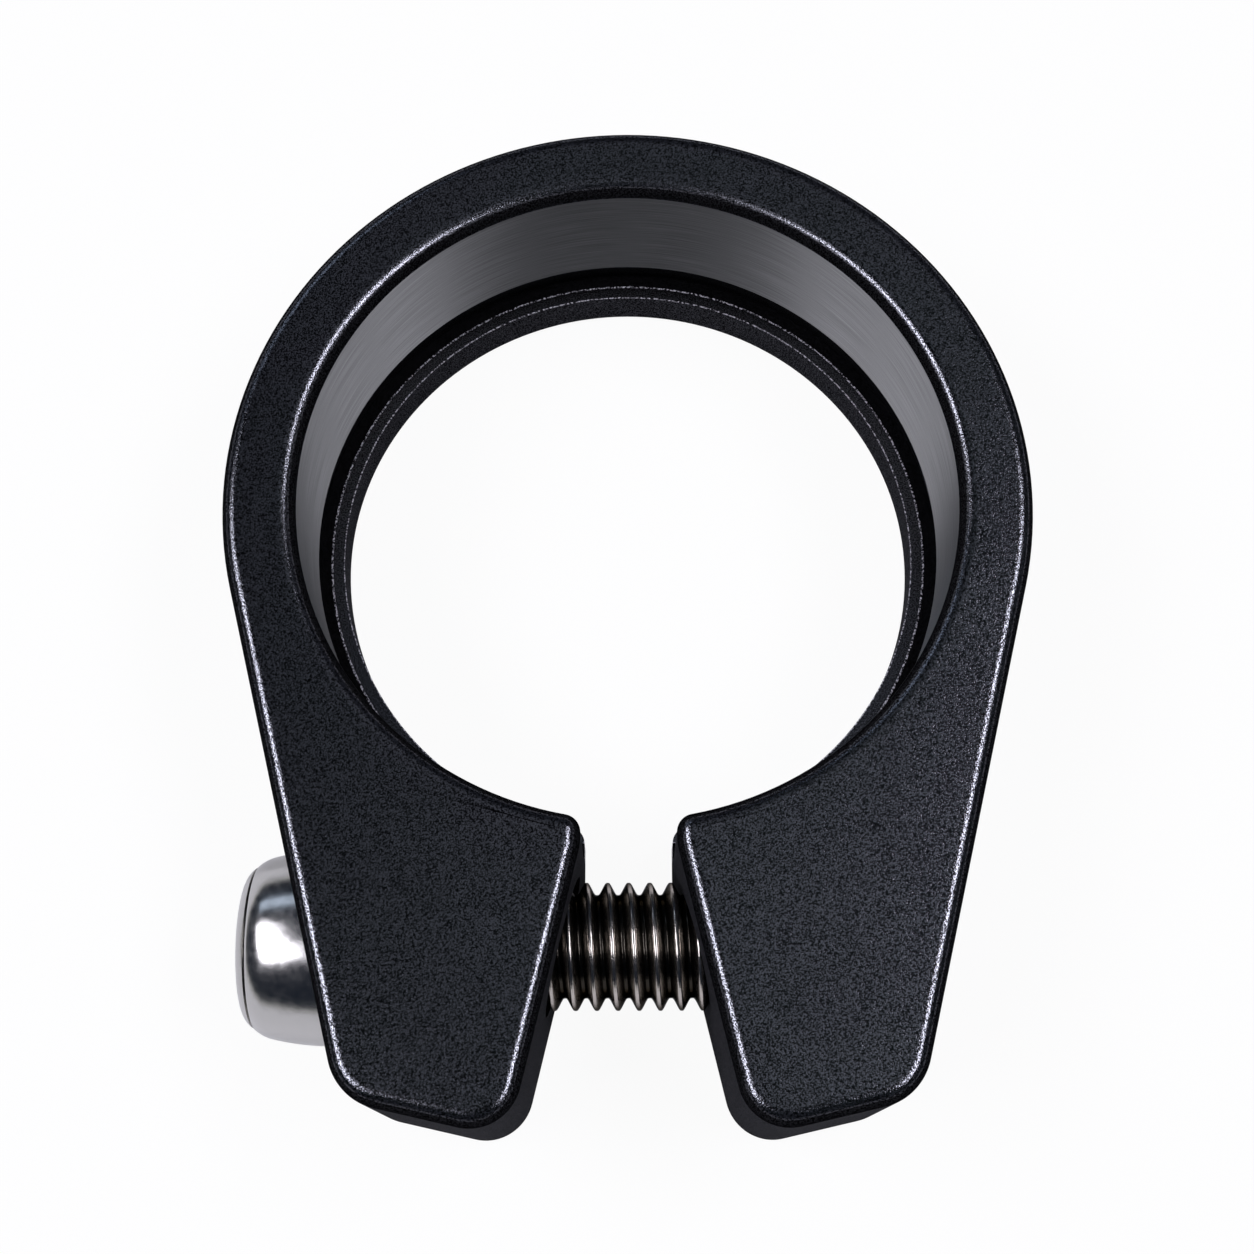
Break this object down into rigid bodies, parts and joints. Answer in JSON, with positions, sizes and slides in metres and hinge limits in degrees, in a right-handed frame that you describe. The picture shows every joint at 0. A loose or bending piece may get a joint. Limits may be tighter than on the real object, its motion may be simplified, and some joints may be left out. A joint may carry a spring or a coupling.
{
  "type": "seatpost clamp",
  "caption": "Black split clamp collar for a bicycle seat tube, with tapered ears, a flared gap, a stepped bore with a retaining lip and a silver socket-head bolt across the ears.",
  "frame": {"origin": "on the bore axis at the lip's shoulder, where the seat tube ends", "axes": "+Z along the bore, out of the mouth that the seat tube enters; ears towards -Y; bolt along X with its head at -X"},
  "size_m": [0.0388, 0.049, 0.0122],
  "materials": {
    "black_anodised": "bead-blasted, black anodised",
    "bright_steel": "bright nickel plated",
    "plain_steel": "turned, bright"
  },
  "bodies": {
    "collar": {"collar": "black_anodised"},
    "washer": {"head_washer": "plain_steel"},
    "bolt": {"clamp_bolt": "bright_steel"}
  },
  "joints": [
    {"name": "bolt_travel", "type": "slide", "parent": "collar", "child": "washer", "axis": [-1, 0, 0], "range_m": [0, 0.007]},
    {"name": "bolt_turn", "type": "hinge", "parent": "washer", "child": "bolt", "pos_m": [0, -0.0209, 0.0034], "axis": [-1, 0, 0], "range_deg": [0, 2520]}
  ],
  "couplings": [
    {"joint": "bolt_turn", "follows": "bolt_travel", "rad_per_m": 6283.2}
  ]
}
